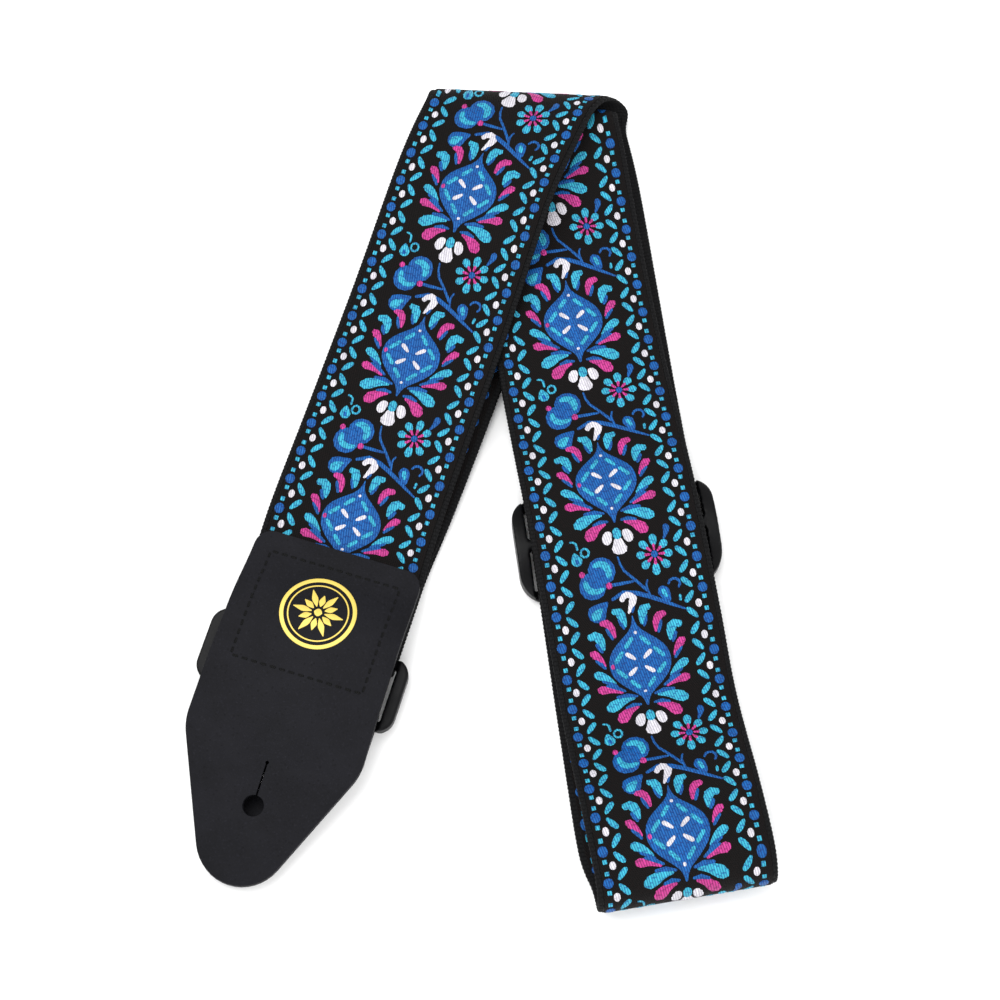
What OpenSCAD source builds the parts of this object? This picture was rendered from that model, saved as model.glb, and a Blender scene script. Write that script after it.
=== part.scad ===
// Guitar strap: 50 mm webbing with a woven ribbon, laid folded as for display.
// Millimetres, +Z up. The strap lies on z = 0; the origin is the middle of its footprint.

/* [Webbing] */
// Width of the webbing
web_w = 50; // [44:1:60]
// Thickness of the webbing
web_t = 1.3; // [1:0.1:1.6]
// Width of the woven ribbon sewn to the webbing
ribbon_w = 46.6; // [38:0.1:48]
// Thickness of the woven ribbon
ribbon_t = 0.5; // [0.3:0.1:0.6]
// Thickness of the sewing thread
thread_d = 0.4; // [0.3:0.1:0.5]

/* [Leather ends] */
// Thickness of the leather
leather_t = 2.4; // [2:0.1:3]
// How far the leather stands past each side of the webbing at its widest
leather_over = 0.9; // [0.5:0.1:3]
// Button hole to the top edge of the front end
front_top = 77.5; // [72:0.5:90]
// Button hole to the rounded tip
tip_reach = 22.4; // [20:0.2:26]
// Diameter of the button hole
hole_d = 6; // [4:0.5:8]
// Length of the keyhole slit
slit_l = 12.5; // [8:0.5:14]
// Width of the stitched box
box_w = 39; // [28:1:42]
// Length of the stitched box
box_l = 33.5; // [20:0.5:33.5]
// Distance from stitch to stitch
stitch_pitch = 2.8; // [2:0.1:4]
// Diameter of the foil emblem
emblem_d = 22; // [12:1:28]

/* [Slider and ring] */
// Free width beside the webbing in the slider and the ring, each side
side_clear = 0.75; // [0.5:0.05:1.5]
// Width of the side rails of the slider and the ring
rail_w = 3.75; // [3:0.25:6]
// Length of the slider along the strap
slider_l = 32; // [28:0.5:38]
// Thickness of the slider's bars
slider_bar_t = 2.4; // [2:0.1:2.6]
// Length of the ring along the strap
ring_l = 22; // [18:0.5:23]
// Diameter of the ring's bars
ring_bar_d = 3.2; // [2.6:0.1:3.6]

/* [Lay] */
// Angle of the left leg from straight down
left_heading = 18.7; // [16:0.1:21]
// Angle of the right leg from straight down
right_heading = 9.75; // [8:0.05:11]
// Angle of the front leather end from straight down
leather_heading = 17.3; // [16:0.1:19]

/* [Hidden] */
$fn = 48;

// middle of the footprint in the laying plan's own coordinates
centre = [-5.9, 12.9];
layer_gap = 0.1;                  // between two layers that lie on each other
sewn_gap = 0.02;                  // between the ribbon and its webbing
layer_t = web_t + ribbon_t;       // webbing with its ribbon
function rest(n) = n * (layer_t + layer_gap);

slot_w = web_w + 2 * side_clear;
frame_w = slot_w + 2 * rail_w;

// ---------- plan of the lay ----------
left_x = -42.9;                   // where the left leg's centre line meets y = 0
right_x = 32.7;                   // the same for the right leg's upper layers
lower_x = 33.2;                   // and for its lower layers,
lower_heading = right_heading - 1.7; // which turn a little less
crease_az = -3.2;                 // direction of the top fold
button = [-68.5, -83.8];          // front button hole

function left_leg(y, side = 0) = [left_x + y * tan(left_heading) + side, y];
function right_leg(y) = [right_x - y * tan(right_heading), y];
function lower_leg(y) = [lower_x - y * tan(lower_heading), y];
function end_line(v) = button + v * [sin(leather_heading), cos(leather_heading)];

// one row of a strip's route: a point on the webbing's back face, the direction
// of the line across the strip there, and how much that line tilts
function row(p, z, az, tilt = 0) = [p[0], p[1], z, az, tilt];

// ---------- heights at the ring and the slider ----------
bar_clear = 0.25;                                  // running clearance at the ring's bars
ring_z = leather_t + bar_clear + ring_bar_d / 2;   // both bars' height
ring_v = 41.5;                                     // ring's middle above the button hole
bar_v = ring_l / 2 - ring_bar_d / 2;               // each bar from the middle
top_bar_v = ring_v + bar_v;
low_bar_v = ring_v - bar_v;
wrap_r = ring_z - layer_t;                         // webbing's back face round the top bar
over_ring = max(ring_z + wrap_r + layer_t, ring_z + ring_bar_d / 2 + bar_clear + leather_t)
  + 2 * layer_gap;

sewn_clear = 0.3;                                  // from the ribbon up to the front end
front_tip_z = 3;                           // underside at the front end's tip
front_bend = 36;                           // where the flat lower part ends
front_z = over_ring + layer_t + sewn_clear; // underside over the ring
front_top_z = rest(2) + 0.3 + layer_t + sewn_clear;
front_tilt = atan((front_z - front_tip_z) / (front_bend + tip_reach));
function front_under(v) = v < front_bend ? front_z - (front_bend - v) * tan(front_tilt)
  : v < 52 ? front_z : v > 74 ? front_top_z
  : front_z + (front_top_z - front_z) * (1 - cos(180 * (v - 52) / 22)) / 2;

outer_bar_t = slider_bar_t - 0.4;
slot_z = outer_bar_t + 0.15 + layer_t;             // strap's back face inside the slider
loop_clear = 0.15;
loop_r = slider_bar_t / 2 + loop_clear;            // inner radius of the slider's loop
slider_bar_z = slot_z + layer_gap + layer_t + loop_r;
over_slider = slider_bar_z + loop_r + 2 * layer_t + 2 * layer_gap;
over_tail = slot_z + 3 * layer_t + 4 * layer_gap + thread_d;
slider_y = -4.2;                                   // slider's middle on the right leg
slide_range = 6;                                   // slider's travel each way

// ---------- route of the strap ----------
// front leather end, up the left leg and to the top fold
left_up = concat(
  [for (v = [36.5, 44, 52, 58, 64, 70, 77])
    row(end_line(v), front_under(v) - layer_t - sewn_clear, -leather_heading)],
  [for (p = [[-2, 0.1, 0], [18, 1.6, 4], [44, 3.1, 5], [66, 4.6, 6], [82, 8.4, 8],
    [96, 11.8, 9], [110, 13.1, 9]])
    row(left_leg(p[0]), rest(2) + p[1], -left_heading, p[2])]);
// outer turn of the top fold
outer_turn = [row([0.4, 124], rest(2) + 12.6, -12, 7), row([4.0, 133], rest(2) + 10.4, -5, 4),
  row([7.0, 136.6], rest(2) + 6.2, crease_az, 1), row([9.6, 136.8], rest(2) + 1.2, crease_az),
  row([12.4, 132.5], layer_t, crease_az), row([14.4, 124], layer_t, 3)];
// down the right leg at the bottom, lifted where it runs through the slider
hold = slider_l / 2 + slide_range;
right_down = concat(
  [for (y = [110, 90, 70, 52, 38]) row(lower_leg(y), layer_t, lower_heading)],
  [for (y = [slider_y + hold + 4, slider_y + hold - 8, slider_y + 8, slider_y - 8,
    slider_y - hold + 8, slider_y - hold - 4])
    row(lower_leg(y), slot_z, lower_heading)],
  [for (y = [-46, -58, -70, -82, -92]) row(lower_leg(y), layer_t, lower_heading)]);
// bottom fold
bottom_turn = [row([50.2, -101], layer_t, 9), row([51.0, -107.0], layer_t + 2.4, 9.4),
  row([51.4, -108.8], layer_t + 7.2, right_heading), row([51.2, -107.0], layer_t + 12.6, right_heading),
  row([50.4, -101], layer_t + 15.8, right_heading)];
// up the right leg at the top
right_up = [for (p = [[-92, rest(3) + 12.6], [-83, rest(3) + 10.6], [-74, rest(3) + 7],
    [-65, rest(3) + 3], [-56, rest(3) + 0.6], [-48, rest(3) + 0.5], [-40, over_tail - 1.5],
    [-32, over_tail], [-24, over_tail + 0.5], [-18, over_slider - 0.3], [-12, over_slider + 0.2],
    [-2, over_slider + 0.1], [5, over_slider + 0.1], [12, over_slider - 0.8], [22, over_slider - 3.2],
    [34, rest(2) + 3.4], [46, rest(2) + 1.9, -2.5], [58, rest(2) + 2.6, -5], [70, rest(2) + 3.4, -6],
    [82, rest(2) + 4.4, -6], [94, rest(4) + 0.8, -4], [106, rest(4) + 2.8, -2], [117, rest(4) + 4.2]])
    row(right_leg(p[0]), p[1], right_heading, len(p) > 2 ? p[2] : 0)];
// inner turn of the top fold
inner_turn = [row([10.6, 126.0], rest(4) + 4.0, 2), row([8.6, 131.6], rest(4) + 2.2, crease_az),
  row([7.4, 132.8], rest(3) + 1.0, crease_az), row([5.8, 129.6], rest(1) + layer_t + 0.2, crease_az),
  row([3.8, 122], rest(1) + layer_t, -9)];
// down the left leg at the bottom, to the ring
left_down = concat(
  [for (p = [[112, 3.4, 2, 0.5], [96, 3.4, 2, 2], [78, 3.2, 1.6, 3], [60, 3, 1.2, 2.4],
    [42, 2.6, 0.5, 1], [24, 2.2, 0, 0], [8, 1.8, 0, 0]])
    row(left_leg(p[0], p[1]), layer_t + p[2], -left_heading, p[3])],
  [for (v = [80, 72, 65, 58]) row(end_line(v), layer_t, -leather_heading)]);
// round the ring's upper bar and back onto itself
step = 45;
pull = wrap_r / ((4 + 2 * cos(step)) / 6); // a spline runs inside its rows by this much
ring_turn = [for (a = [0:step:180])
  row(end_line(top_bar_v - pull * sin(a)), ring_z - (a % 180 == 0 ? wrap_r : pull) * cos(a),
    -leather_heading)];
ramp = [for (p = [[top_bar_v + 6, 0.85], [top_bar_v + 14, 0.35], [top_bar_v + 21, 0.05], [80, 0], [86, 0]])
  row(end_line(p[0]), layer_t + layer_gap + p[1] * (2 * wrap_r - layer_gap), -leather_heading)];

route = concat(left_up, outer_turn, right_down, bottom_turn, right_up, inner_turn, left_down,
  ring_turn, ramp);
steps = 3;                                   // stations per row
rows_before_slider = len(left_up) + len(outer_turn) + 5;
// the strap's returned end starts under the slider and ends where the ramp does
return_first = steps * (rows_before_slider + 3) + 1;
return_last = steps * (len(route) - len(ramp) - len(ring_turn) - 5);

// ---------- strips ----------
function mixed(a, b, c, d, t) = (pow(1 - t, 3) * a + (3 * pow(t, 3) - 6 * t * t + 4) * b
  + (-3 * pow(t, 3) + 3 * t * t + 3 * t + 1) * c + pow(t, 3) * d) / 6;
function spline(r) = let (n = len(r), q = concat([2 * r[0] - r[1]], r, [2 * r[n - 1] - r[n - 2]]))
  [for (i = [0:n - 2], k = [0:steps - 1]) mixed(q[i], q[i + 1], q[i + 2], q[i + 3], k / steps),
    r[n - 1]];
function xyz(q) = [q[0] - centre[0], q[1] - centre[1], q[2]];
function unit(a) = a / norm(a);
// a station is its point, the line across the strip and the normal on the ribbon's side
function station(q, i) = let (n = len(q),
    t = unit(xyz(q[min(i + 1, n - 1)]) - xyz(q[max(i - 1, 0)])),
    c = [cos(q[i][3]) * cos(q[i][4]), sin(q[i][3]) * cos(q[i][4]), sin(q[i][4])])
  [xyz(q[i]), c / sqrt(1 - pow(t * c, 2)), unit(cross(c, t))];
path = spline(route);
outward = [for (i = [0:len(path) - 1]) station(path, i)];
returned = [for (i = [return_last:-1:return_first]) let (s = outward[i])
  [s[0] - layer_gap * s[2], s[1], -s[2]]];
stations = concat(outward, returned);

// closed strip through some stations, from height h0 to h1 off the webbing's back
// face and from side u0 to side u1
module strip(st, h0, h1, u0, u1) {
  n = len(st);
  pts = [for (s = st) each [s[0] + h0 * s[2] + u0 * s[1], s[0] + h0 * s[2] + u1 * s[1],
    s[0] + h1 * s[2] + u1 * s[1], s[0] + h1 * s[2] + u0 * s[1]]];
  // layers that lie back to back are cut into the same triangles
  sides = [for (i = [0:n - 2], k = [0:3]) let (a = 4 * i + k, b = 4 * i + (k + 1) % 4)
    each ((k == 2) == (i < len(outward)) ? [[a, a + 4, b + 4], [a, b + 4, b]]
      : [[a, a + 4, b], [b, a + 4, b + 4]])];
  ends = [[0, 1, 2], [0, 2, 3], [4 * n - 4, 4 * n - 2, 4 * n - 3], [4 * n - 4, 4 * n - 1, 4 * n - 2]];
  polyhedron(pts, concat(sides, ends), convexity = 10);
}

module webbing() color([0.05, 0.05, 0.06]) strip(stations, 0, web_t, -web_w / 2, web_w / 2);

module jacquard_ribbon() color([0.08, 0.35, 0.75])
  strip(stations, web_t + sewn_gap, layer_t, -ribbon_w / 2, ribbon_w / 2);

seam_in = 0.1;                    // seam's distance outside the ribbon's edge
module ribbon_seam(side) {
  u = side * (ribbon_w / 2 + seam_in + thread_d / 2);
  color([0.12, 0.12, 0.13])
    strip(outward, web_t + sewn_gap, web_t + thread_d, u - thread_d / 2, u + thread_d / 2);
}
module ribbon_stitch_left() ribbon_seam(-1);
module ribbon_stitch_right() ribbon_seam(1);

// ---------- leather ends ----------
// u runs across, v up the strap, from the front button hole
module at_leather() translate([button[0] - centre[0], button[1] - centre[1], 0])
  rotate(-leather_heading) children();
wide = web_w / 2 + leather_over;

function arc(c, r, a0, a1, n = 6) = [for (k = [0:n]) let (a = a0 + (a1 - a0) * k / n)
  c + r * [cos(a), sin(a)]];
tip_r = 13;
shoulder_r = 16;
corner_r = 5;
// half the outline, from the tip round to the top edge
module leather_outline(tip, top) {
  shoulder = [wide - shoulder_r, tip + tip_reach + 20];
  c0 = [0, tip + tip_r];
  between = shoulder - c0;
  // both arcs meet their common tangent at this angle
  a = atan2(between[1], between[0]) - acos((tip_r - shoulder_r) / norm(between));
  half = concat(arc(c0, tip_r, -90, a, 8), arc(shoulder, shoulder_r, a, 2, 6),
    arc([wide - 1 - corner_r, top - corner_r], corner_r, 0, 90, 5));
  polygon(concat(half, [for (i = [len(half) - 1:-1:1]) [-half[i][0], half[i][1]]]));
}
module button_hole(v, z, tilt) translate([0, v, z]) rotate([tilt, 0, 0]) {
  cylinder(d = hole_d, h = 3 * leather_t, center = true);
  translate([-0.25, 0, -1.5 * leather_t]) cube([0.5, slit_l, 3 * leather_t]);
  translate([0, slit_l, 0]) cylinder(d = 1, h = 3 * leather_t, center = true);
}

module front_profile(t) {
  vs = concat([-tip_reach - 1, front_bend], [for (v = [52:2:74]) v], [front_top + 1]);
  polygon(concat([for (v = vs) [v, front_under(v)]],
    [for (i = [len(vs) - 1:-1:0]) [vs[i], front_under(vs[i]) + t]]));
}
module across(w) rotate([90, 0, 90]) linear_extrude(w, center = true) children();
hole_z = front_under(0) + leather_t / 2;

module front_leather_end() color([0.15, 0.15, 0.17]) at_leather() difference() {
  intersection() {
    linear_extrude(30) leather_outline(-tip_reach, front_top);
    across(2 * wide + 2) front_profile(leather_t);
  }
  button_hole(0, hole_z, front_tilt);
}

box_top = front_top - 6;
function front_slope(v) = atan(front_under(v + 0.5) - front_under(v - 0.5));
module stitch_at(u, v, turned) translate([u, v, front_under(v) + leather_t + 2 * sewn_gap])
  rotate([front_slope(v), 0, 0]) rotate(turned ? 90 : 0) translate([-stitch_pitch * 0.32, -thread_d / 2, 0])
  cube([stitch_pitch * 0.64, thread_d, thread_d / 2]);
module front_box_stitch() color([0.06, 0.06, 0.07]) at_leather() {
  nu = round(box_w / stitch_pitch);
  nv = round(box_l / stitch_pitch);
  for (i = [0:nu - 1], v = [box_top, box_top - box_l])
    stitch_at(box_w * ((i + 0.5) / nu - 0.5), v, false);
  for (i = [0:nv - 1], s = [-0.5, 0.5])
    stitch_at(s * box_w, box_top - box_l * (i + 0.5) / nv, true);
}

emblem_v = 57;
emblem_t = 0.12;
module foil_emblem() color([0.95, 0.86, 0.45]) at_leather()
  intersection() {
    translate([0, emblem_v, 0]) linear_extrude(30) difference() {
      circle(d = emblem_d);
      circle(d = emblem_d - 2.4);
    }
    translate([0, 0, leather_t + sewn_gap]) across(emblem_d + 2) front_profile(emblem_t);
  }

// rear end: folded round the ring's lower bar, its flap underneath
rear_tip = -14;
rear_hole_v = rear_tip + tip_reach;
flap_l = 11;
fold_r = ring_bar_d / 2 + bar_clear;
module rear_profile() {
  t = leather_t;
  top = ring_z + fold_r;
  difference() {
    translate([low_bar_v, ring_z]) circle(r = fold_r + t);
    translate([low_bar_v, ring_z]) circle(r = fold_r);
    translate([low_bar_v - 20, ring_z - 10]) square([20, 20]);
  }
  translate([low_bar_v - flap_l, 0]) square([flap_l, t]);
  polygon([[low_bar_v, top], [low_bar_v, top + t], [low_bar_v - 3, top + t],
    [low_bar_v - flap_l + 1, 2 * t + 0.2], [low_bar_v - flap_l - 4, t + 0.4],
    [low_bar_v - flap_l - 8, t], [rear_tip - 1, t], [rear_tip - 1, 0],
    [low_bar_v - flap_l - 8, 0], [low_bar_v - flap_l - 1, 0.6], [low_bar_v - flap_l - 1, t - 0.4],
    [low_bar_v - flap_l, t + 0.2], [low_bar_v - 3, top]]);
}
module rear_leather_end() color([0.15, 0.15, 0.17]) at_leather() difference() {
  intersection() {
    linear_extrude(30) leather_outline(rear_tip, front_top);
    across(2 * wide + 2) rear_profile();
  }
  translate([-wide - 1, rear_hole_v + slit_l + 1, -1]) cube([wide + 1 - web_w / 2 + 0.3, 60, 30]);
  translate([web_w / 2 - 0.3, rear_hole_v + slit_l + 1, -1]) cube([wide + 1, 60, 30]);
  button_hole(rear_hole_v, leather_t / 2, 0);
}
module rear_end_stitch() color([0.06, 0.06, 0.07]) at_leather() {
  n = round((web_w - 10) / stitch_pitch);
  for (i = [0:n - 1])
    translate([(web_w - 10) * ((i + 0.2) / n - 0.5), low_bar_v - flap_l + 3, 0])
      cube([stitch_pitch * 0.64, thread_d, 2 * leather_t + 0.9]);
}

// ---------- ring ----------
module rounded(w, l, r) {
  square([w - 2 * r, l], center = true);
  square([w, l - 2 * r], center = true);
  for (x = [-1, 1], y = [-1, 1]) translate([x * (w / 2 - r), y * (l / 2 - r)]) circle(r = r);
}
ring_rail_h = ring_bar_d + 1;
module ring() color([0.1, 0.1, 0.11]) at_leather() translate([0, ring_v, ring_z]) {
  for (s = [-1, 1])
    translate([0, s * bar_v, 0]) rotate([0, 90, 0])
      cylinder(d = ring_bar_d, h = slot_w + rail_w, center = true);
  intersection() {
    linear_extrude(ring_rail_h, center = true) rounded(frame_w, ring_l, 5);
    for (s = [-1, 1]) translate([s * (slot_w + rail_w) / 2, 0, 0])
      cube([rail_w, ring_l, ring_rail_h], center = true);
  }
}

// ---------- slider and the strap's looped end ----------
module at_slider() translate([lower_leg(slider_y)[0] - centre[0], slider_y - centre[1], 0])
  rotate(lower_heading) children();
rail_top = slider_bar_z + slider_bar_t / 2;
module flat_bar(t, w = 3.5) rotate([90, 0, 90]) linear_extrude(slot_w + rail_w, center = true) {
  square([w - t, t], center = true);
  for (s = [-1, 1]) translate([s * (w - t) / 2, 0]) circle(d = t);
}
module slider() color([0.1, 0.1, 0.11]) at_slider() {
  for (s = [-1, 1])
    translate([0, s * (slider_l / 2 - 2.2), outer_bar_t / 2]) flat_bar(outer_bar_t);
  translate([0, 0, slider_bar_z]) flat_bar(slider_bar_t);
  arch = (pow(slider_l / 2, 2) + pow(rail_top - 2.6, 2)) / (2 * (rail_top - 2.6));
  intersection() {
    linear_extrude(rail_top) rounded(frame_w, slider_l, 8);
    for (s = [-1, 1]) translate([s * (slot_w + rail_w) / 2, 0, rail_top / 2])
      cube([rail_w, slider_l, rail_top], center = true);
    translate([0, 0, rail_top - arch]) rotate([0, 90, 0])
      cylinder(r = arch, h = frame_w, center = true, $fn = 96);
  }
}
loop_end = 0.55;                 // middle of the loop's round end
tail_l = 20;
module slider_loop() color([0.05, 0.05, 0.06]) at_slider() across(web_w) {
  t = layer_t;
  lo = slider_bar_z - loop_r;
  hi = slider_bar_z + loop_r;
  tail_z = slot_z + 2 * layer_gap + layer_t;
  difference() {
    translate([loop_end, slider_bar_z]) circle(r = loop_r + t);
    translate([loop_end, slider_bar_z]) circle(r = loop_r);
    translate([loop_end - 20, 0]) square([20, 20]);
  }
  translate([-3, lo - t]) square([3 + loop_end, t]);
  polygon([[loop_end, hi], [loop_end, hi + t], [-3, hi + t], [-11.5, tail_z + t], [-tail_l, tail_z + t],
    [-tail_l, tail_z], [-12, tail_z], [-3, hi]]);
}
module slider_bartack() color([0.12, 0.12, 0.13]) at_slider() {
  tail_top = slot_z + 2 * layer_gap + 2 * layer_t;
  n = round((web_w - 6) / stitch_pitch);
  for (i = [0:n - 1], y = [-18, -13.5])
    translate([(web_w - 6) * ((i + 0.2) / n - 0.5), y, tail_top + sewn_gap])
      cube([stitch_pitch * 0.64, thread_d, thread_d / 2]);
}

webbing();
jacquard_ribbon();
ribbon_stitch_left();
ribbon_stitch_right();
front_leather_end();
front_box_stitch();
foil_emblem();
rear_leather_end();
rear_end_stitch();
slider();
slider_loop();
slider_bartack();
ring();
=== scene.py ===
"""Guitar strap: ribbed webbing with a jacquard ribbon, leather ends, a slider and a ring.

The strap lies folded in two legs, as on a shop counter. Lengths are in millimetres up
to the point where a mesh is made, and in metres from there on.
"""

import math

import bmesh
import bpy
import numpy as np
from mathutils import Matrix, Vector


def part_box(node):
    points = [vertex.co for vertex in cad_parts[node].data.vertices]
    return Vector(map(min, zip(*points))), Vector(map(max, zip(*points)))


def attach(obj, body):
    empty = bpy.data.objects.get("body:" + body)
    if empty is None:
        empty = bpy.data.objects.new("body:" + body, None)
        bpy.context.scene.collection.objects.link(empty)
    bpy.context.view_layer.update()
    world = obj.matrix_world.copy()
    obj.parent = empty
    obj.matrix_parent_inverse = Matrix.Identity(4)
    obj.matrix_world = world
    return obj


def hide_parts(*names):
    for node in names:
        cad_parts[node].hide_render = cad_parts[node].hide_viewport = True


bl_info = {
    "name": "Jacquard guitar strap",
    "version": (1, 0, 0),
    "blender": (4, 5, 0),
    "location": "View3D > Sidebar > Strap",
    "description": "Builds a folded guitar strap around its CAD frame",
    "category": "Add Mesh",
}

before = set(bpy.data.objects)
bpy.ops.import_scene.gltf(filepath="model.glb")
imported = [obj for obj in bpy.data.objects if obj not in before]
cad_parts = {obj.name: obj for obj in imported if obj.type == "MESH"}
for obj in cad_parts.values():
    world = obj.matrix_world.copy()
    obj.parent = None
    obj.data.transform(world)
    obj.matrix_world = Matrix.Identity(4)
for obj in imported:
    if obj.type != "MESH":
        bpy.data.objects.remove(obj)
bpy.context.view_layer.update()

MM = 0.001

# ---------- sizes that the frame gives ----------
CENTRE = np.array([-5.9, 12.9])        # middle of the footprint in the plan the rows use
WEB_W, WEB_T = 50.0, 1.3               # webbing
RIBBON_W, RIBBON_T = 46.6, 0.5         # ribbon sewn onto it
LAYER_T = WEB_T + RIBBON_T
LAYER_GAP = 0.1
LEATHER_T = 2.4
LEG_AT, LEG_TURN = -42.9, 18.7         # left leg: x where it crosses y = 0, lean in degrees
RIGHT_AT, RIGHT_TURN = 32.7, 9.75
LOWER_AT, LOWER_TURN = 33.2, 8.05      # layer below the right leg
BUTTON, END_TURN = np.array([-68.5, -83.8]), 17.3
CREASE = -3.2                          # top fold's turn
RING_V, RING_L, RING_BAR = 41.5, 22.0, 3.2
SLIDER_L, SLIDER_BAR, SLIDER_Y, SLIDER_PLAY = 32.0, 2.4, -4.2, 6.0
FRAME_W = 59.0                         # slider and ring across, over their rails
SLIDER_CORNER, RING_CORNER = 8, 5      # rounding of their outlines
MELT_CELL, MELT_PASSES = 0.36, 8       # cell and smoothing that soften them
STITCH_PITCH = 2.8
BAR_CLEAR = 0.25
THREAD_D = 0.4


def tand(a):
    return math.tan(math.radians(a))


def rest(n):
    """Height of n layers that lie flat on each other."""
    return n * (LAYER_T + LAYER_GAP)


RING_Z = LEATHER_T + BAR_CLEAR + RING_BAR / 2
BAR_V = RING_L / 2 - RING_BAR / 2
TOP_BAR_V, LOW_BAR_V = RING_V + BAR_V, RING_V - BAR_V
WRAP_R = RING_Z - LAYER_T
OVER_RING = max(RING_Z + WRAP_R + LAYER_T, RING_Z + RING_BAR / 2 + BAR_CLEAR + LEATHER_T) + 2 * LAYER_GAP
SLOT_Z = SLIDER_BAR - 0.4 + 0.15 + LAYER_T
LOOP_R = SLIDER_BAR / 2 + 0.15
SLIDER_Z = SLOT_Z + LAYER_GAP + LAYER_T + LOOP_R
OVER_SLIDER = SLIDER_Z + LOOP_R + 2 * LAYER_T + 2 * LAYER_GAP
OVER_TAIL = SLOT_Z + 3 * LAYER_T + 4 * LAYER_GAP + THREAD_D
UNDER_SEWN = 0.3
FRONT_BEND, FRONT_TIP_Z, TIP_REACH = 36.0, 3.0, 22.4
FRONT_Z = OVER_RING + LAYER_T + UNDER_SEWN
FRONT_TOP_Z = rest(2) + 0.3 + LAYER_T + UNDER_SEWN
FRONT_SLOPE = math.degrees(math.atan((FRONT_Z - FRONT_TIP_Z) / (FRONT_BEND + TIP_REACH)))


def front_under(v):
    """Height of the front leather end's underside, v up the strap from its button hole."""
    if v < FRONT_BEND:
        return FRONT_Z - (FRONT_BEND - v) * tand(FRONT_SLOPE)
    if v < 52:
        return FRONT_Z
    if v > 74:
        return FRONT_TOP_Z
    return FRONT_Z + (FRONT_TOP_Z - FRONT_Z) * (1 - math.cos(math.pi * (v - 52) / 22)) / 2


def left_leg(y, side=0.0):
    return LEG_AT + y * tand(LEG_TURN) + side, y


def right_leg(y):
    return RIGHT_AT - y * tand(RIGHT_TURN), y


def lower_leg(y):
    return LOWER_AT - y * tand(LOWER_TURN), y


def end_line(v):
    a = math.radians(END_TURN)
    return BUTTON[0] + v * math.sin(a), BUTTON[1] + v * math.cos(a)


def row(p, z, turn, tilt=0.0):
    """One given place on the strap's way: point on its back, and the line across it."""
    return p[0], p[1], z, turn, tilt


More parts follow.
